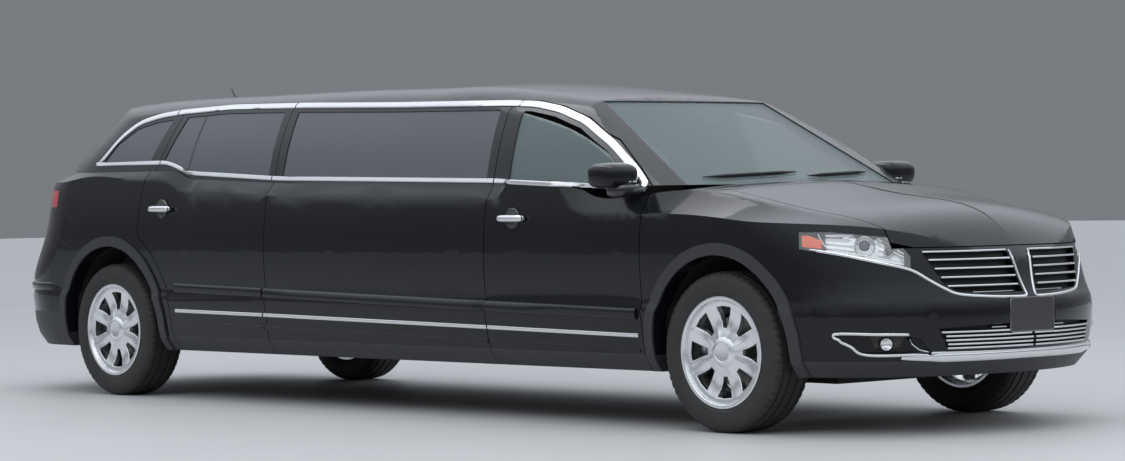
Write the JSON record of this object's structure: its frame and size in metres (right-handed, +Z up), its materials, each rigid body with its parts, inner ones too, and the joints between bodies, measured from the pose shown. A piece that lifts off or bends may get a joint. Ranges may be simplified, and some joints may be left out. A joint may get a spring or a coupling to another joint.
{
  "type": "stretch limousine",
  "caption": "Long-wheelbase black limousine on a crossover body, with side doors, hood, liftgate, steered front wheels and a passenger saloon behind a partition",
  "frame": {"origin": "centre of the bounding box on the ground, on the car's centre line", "axes": "+X forward, +Y to the car's left, +Z up"},
  "size_m": [7.0454, 2.18, 1.6804],
  "materials": {
    "paint": "deep gloss black with clear coat",
    "window_glass": "tinted safety glass",
    "tyre_rubber": "matt black road tyre",
    "alloy": "polished alloy",
    "lamp": "clear lens over chrome reflector",
    "tail_lens": "red lens",
    "chrome_bars": "bright plated bars",
    "black_plastic": "grained black plastic",
    "chassis_steel": "black chassis paint",
    "floor_steel": "underbody coating",
    "exhaust_steel": "dull stainless tube",
    "engine_iron": "cast alloy block",
    "trim": "soft black trim",
    "seat_leather": "black grained leather"
  },
  "bodies": {
    "body": {"arch_flares": "black_plastic", "arch_liners": "black_plastic", "centre_glass": "window_glass", "cowl": "black_plastic", "dashboard": "trim", "driveshaft": "chassis_steel", "engine_block": "engine_iron", "exhaust": "exhaust_steel", "floor_pan": "floor_steel", "fog_lamps": "lamp", "front_bumper": "paint", "front_seats": "seat_leather", "front_subframe": "chassis_steel", "fuel_tank": "black_plastic", "grille": "chrome_bars", "left_centre_panel": "paint", "left_front_fender": "paint", "left_headlamp": "lamp", "left_quarter": "paint", "lower_grille": "chrome_bars", "partition": "trim", "plate": "black_plastic", "quarter_glass": "window_glass", "rear_axle": "chassis_steel", "rear_bumper": "paint", "rear_seat": "seat_leather", "right_centre_panel": "paint", "right_front_fender": "paint", "right_headlamp": "lamp", "right_quarter": "paint", "roof": "paint", "side_couch": "seat_leather", "tail_lamps": "tail_lens", "windshield": "window_glass"},
    "right_front_door": {"right_front_door": "paint", "right_front_door_glass": "window_glass", "right_mirror": "paint"},
    "front_right_wheel": {"front_right_tyre": "tyre_rubber", "front_right_rim": "alloy"},
    "left_front_door": {"left_front_door": "paint", "left_front_door_glass": "window_glass", "left_mirror": "paint"},
    "front_left_wheel": {"front_left_tyre": "tyre_rubber", "front_left_rim": "alloy"},
    "right_rear_door": {"right_rear_door": "paint", "right_rear_door_glass": "window_glass"},
    "rear_right_wheel": {"rear_right_tyre": "tyre_rubber", "rear_right_rim": "alloy"},
    "left_rear_door": {"left_rear_door": "paint", "left_rear_door_glass": "window_glass"},
    "rear_left_wheel": {"rear_left_tyre": "tyre_rubber", "rear_left_rim": "alloy"},
    "right_front_knuckle": {"right_front_knuckle": "chassis_steel"},
    "left_front_knuckle": {"left_front_knuckle": "chassis_steel"},
    "hood": {"hood": "paint"},
    "liftgate": {"liftgate": "paint", "liftgate_glass": "window_glass", "liftgate_lamp": "tail_lens"},
    "steering_wheel": {"steering_wheel": "trim"}
  },
  "joints": [
    {"name": "right_front_door_hinge", "type": "hinge", "parent": "body", "child": "right_front_door", "pos_m": [1.971, -0.966, 0.8], "axis": [0, 0, 1], "range_deg": [0, 65]},
    {"name": "right_rear_door_hinge", "type": "hinge", "parent": "body", "child": "right_rear_door", "pos_m": [-0.899, -0.966, 0.8], "axis": [0, 0, 1], "range_deg": [0, 65]},
    {"name": "right_steer", "type": "hinge", "parent": "body", "child": "right_front_knuckle", "pos_m": [2.4655, -0.7697, 0.368], "axis": [0, 0, 1], "range_deg": [-32, 32]},
    {"name": "front_right_spin", "type": "hinge", "parent": "right_front_knuckle", "child": "front_right_wheel", "pos_m": [2.4655, -0.83, 0.368], "axis": [0, 1, 0], "continuous": true},
    {"name": "rear_right_spin", "type": "hinge", "parent": "body", "child": "rear_right_wheel", "pos_m": [-2.3075, -0.83, 0.368], "axis": [0, 1, 0], "continuous": true},
    {"name": "left_front_door_hinge", "type": "hinge", "parent": "body", "child": "left_front_door", "pos_m": [1.971, 0.966, 0.8], "axis": [0, 0, -1], "range_deg": [0, 65]},
    {"name": "left_rear_door_hinge", "type": "hinge", "parent": "body", "child": "left_rear_door", "pos_m": [-0.899, 0.966, 0.8], "axis": [0, 0, -1], "range_deg": [0, 65]},
    {"name": "left_steer", "type": "hinge", "parent": "body", "child": "left_front_knuckle", "pos_m": [2.4655, 0.7697, 0.368], "axis": [0, 0, 1], "range_deg": [-32, 32]},
    {"name": "front_left_spin", "type": "hinge", "parent": "left_front_knuckle", "child": "front_left_wheel", "pos_m": [2.4655, 0.83, 0.368], "axis": [0, 1, 0], "continuous": true},
    {"name": "rear_left_spin", "type": "hinge", "parent": "body", "child": "rear_left_wheel", "pos_m": [-2.3075, 0.83, 0.368], "axis": [0, 1, 0], "continuous": true},
    {"name": "hood_hinge", "type": "hinge", "parent": "body", "child": "hood", "pos_m": [2.105, 0, 1.155], "axis": [0, -1, 0], "range_deg": [0, 50]},
    {"name": "liftgate_hinge", "type": "hinge", "parent": "body", "child": "liftgate", "pos_m": [-2.7975, 0, 1.645], "axis": [0, 1, 0], "range_deg": [0, 75]},
    {"name": "steering_wheel_turn", "type": "hinge", "parent": "body", "child": "steering_wheel", "pos_m": [1.4, 0.38, 0.96], "axis": [-0.8988, 0, 0.4384], "range_deg": [-512, 512]}
  ],
  "couplings": [
    {"joint": "left_steer", "follows": "right_steer", "ratio": 1},
    {"joint": "steering_wheel_turn", "follows": "right_steer", "ratio": 16}
  ]
}
